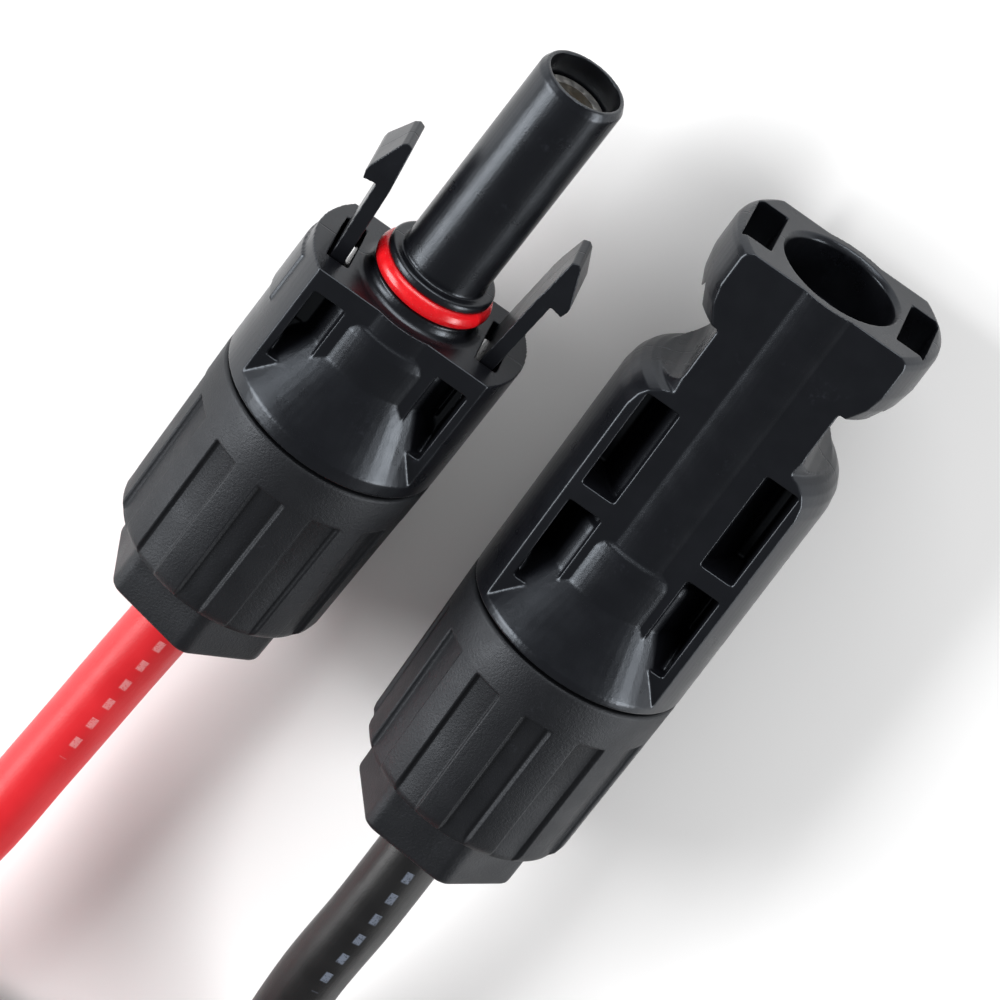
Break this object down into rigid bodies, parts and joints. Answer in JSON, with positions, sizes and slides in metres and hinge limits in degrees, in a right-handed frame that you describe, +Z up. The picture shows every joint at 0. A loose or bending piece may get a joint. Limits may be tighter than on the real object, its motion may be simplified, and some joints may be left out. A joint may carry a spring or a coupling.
{
  "type": "solar cable connector",
  "caption": "Pair of mating photovoltaic cable connector halves, a pin half and a latching socket half, each with a fluted gland nut and a coiled lead.",
  "frame": {"origin": "centre of the box round both halves, without the leads, on the surface they lie on", "axes": "+X along the pin half's axis, towards the mouths; +Z up; the socket half lies on the +Y side"},
  "size_m": [0.1725, 0.0706, 0.0199],
  "materials": {
    "housing_plastic": "satin moulded polyamide",
    "nut_plastic": "fine spark-eroded texture",
    "cage_plastic": "satin",
    "tinned_copper": "bright tin plating",
    "contact_alloy": "spring alloy, bright",
    "spring_steel": "bright",
    "seal_rubber": "matte",
    "red_silicone": "glossy silicone",
    "strands": "tinned fine strands",
    "insulation": "matte",
    "black_sheath": "satin cross-linked sheath",
    "red_sheath": "satin cross-linked sheath",
    "tie_nylon": "satin nylon"
  },
  "bodies": {
    "pin_half": {"pin_housing": "housing_plastic", "pin_contact": "tinned_copper", "pin_contact_clip": "spring_steel", "pin_cable_seal": "seal_rubber", "pin_cable_conductor": "strands", "pin_cable_insulation": "insulation", "pin_cable_sheath": "black_sheath", "pin_lead": "black_sheath", "pin_lead_coil": "black_sheath", "pin_lead_tie": "tie_nylon", "pin_lead_bare_end": "strands"},
    "pin_clamp": {"pin_clamp_cage": "cage_plastic"},
    "pin_nut": {"pin_gland_nut": "nut_plastic"},
    "socket_half": {"socket_housing": "housing_plastic", "sealing_ring": "red_silicone", "socket_contact": "tinned_copper", "socket_contact_band": "contact_alloy", "socket_contact_clip": "spring_steel", "socket_cable_seal": "seal_rubber", "socket_cable_conductor": "strands", "socket_cable_insulation": "insulation", "socket_cable_sheath": "red_sheath", "socket_lead": "red_sheath", "socket_lead_coil": "red_sheath", "socket_lead_tie": "tie_nylon", "socket_lead_bare_end": "strands"},
    "outer_latch_arm": {"outer_latch": "housing_plastic"},
    "inner_latch_arm": {"inner_latch": "housing_plastic"},
    "socket_clamp": {"socket_clamp_cage": "cage_plastic"},
    "socket_nut": {"socket_gland_nut": "nut_plastic"}
  },
  "joints": [
    {"name": "socket_half_lift", "type": "slide", "parent": "pin_half", "child": "socket_half", "axis": [0, 0, 1], "range_m": [0, 0.08]},
    {"name": "pin_clamp_slide", "type": "slide", "parent": "pin_half", "child": "pin_clamp", "axis": [-1, 0, 0], "range_m": [0, 0.006]},
    {"name": "pin_nut_turn", "type": "hinge", "parent": "pin_clamp", "child": "pin_nut", "pos_m": [-0.017, -0.013, 0.0095], "axis": [-1, 0, 0], "range_deg": [0, 1080.1]},
    {"name": "outer_latch_flex", "type": "hinge", "parent": "socket_half", "child": "outer_latch_arm", "pos_m": [0.00552, 0.01878, 0.01138], "axis": [0.0714, 0.0499, -0.9962], "range_deg": [0, 7], "stiffness_Nm_per_rad": 1},
    {"name": "inner_latch_flex", "type": "hinge", "parent": "socket_half", "child": "inner_latch_arm", "pos_m": [0.00509, 0.0051, 0.01066], "axis": [-0.0714, -0.0499, 0.9962], "range_deg": [0, 7], "stiffness_Nm_per_rad": 1},
    {"name": "socket_clamp_slide", "type": "slide", "parent": "socket_half", "child": "socket_clamp", "axis": [-0.997, 0.0348, -0.0698], "range_m": [0, 0.006]},
    {"name": "socket_nut_turn", "type": "hinge", "parent": "socket_clamp", "child": "socket_nut", "pos_m": [-0.01324, 0.01259, 0.00972], "axis": [-0.997, 0.0348, -0.0698], "range_deg": [0, 1080.1]}
  ],
  "couplings": [
    {"joint": "pin_nut_turn", "follows": "pin_clamp_slide", "rad_per_m": 3141.6},
    {"joint": "socket_nut_turn", "follows": "socket_clamp_slide", "rad_per_m": 3141.6}
  ]
}
